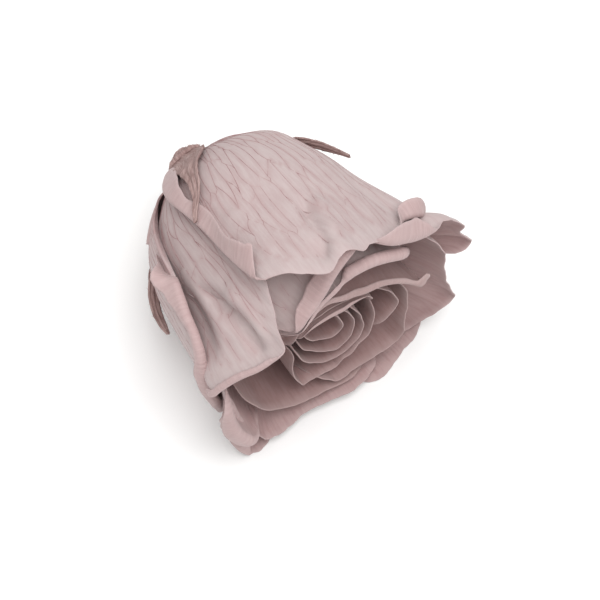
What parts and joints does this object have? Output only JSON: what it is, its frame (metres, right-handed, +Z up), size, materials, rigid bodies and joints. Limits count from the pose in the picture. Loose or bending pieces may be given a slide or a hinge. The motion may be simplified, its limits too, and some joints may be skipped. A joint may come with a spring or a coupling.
{
  "type": "preserved rose head",
  "caption": "Preserved rose head lying on its side: layered petals with rolled margins on a receptacle, held by a short calyx with narrow sepals.",
  "frame": {"origin": "middle of the bounding box on the surface that the flower lies on", "axes": "+Z up; the open face looks towards -Y and 7.5 degrees up, the calyx points towards +Y"},
  "size_m": [0.0596, 0.06, 0.05],
  "materials": {
    "petal": "dusty pink petal, matt and veined",
    "calyx": "taupe sepals and hip, matt and hairy"
  },
  "bodies": {
    "root": {"bloom": "petal", "calyx": "calyx"}
  },
  "joints": []
}
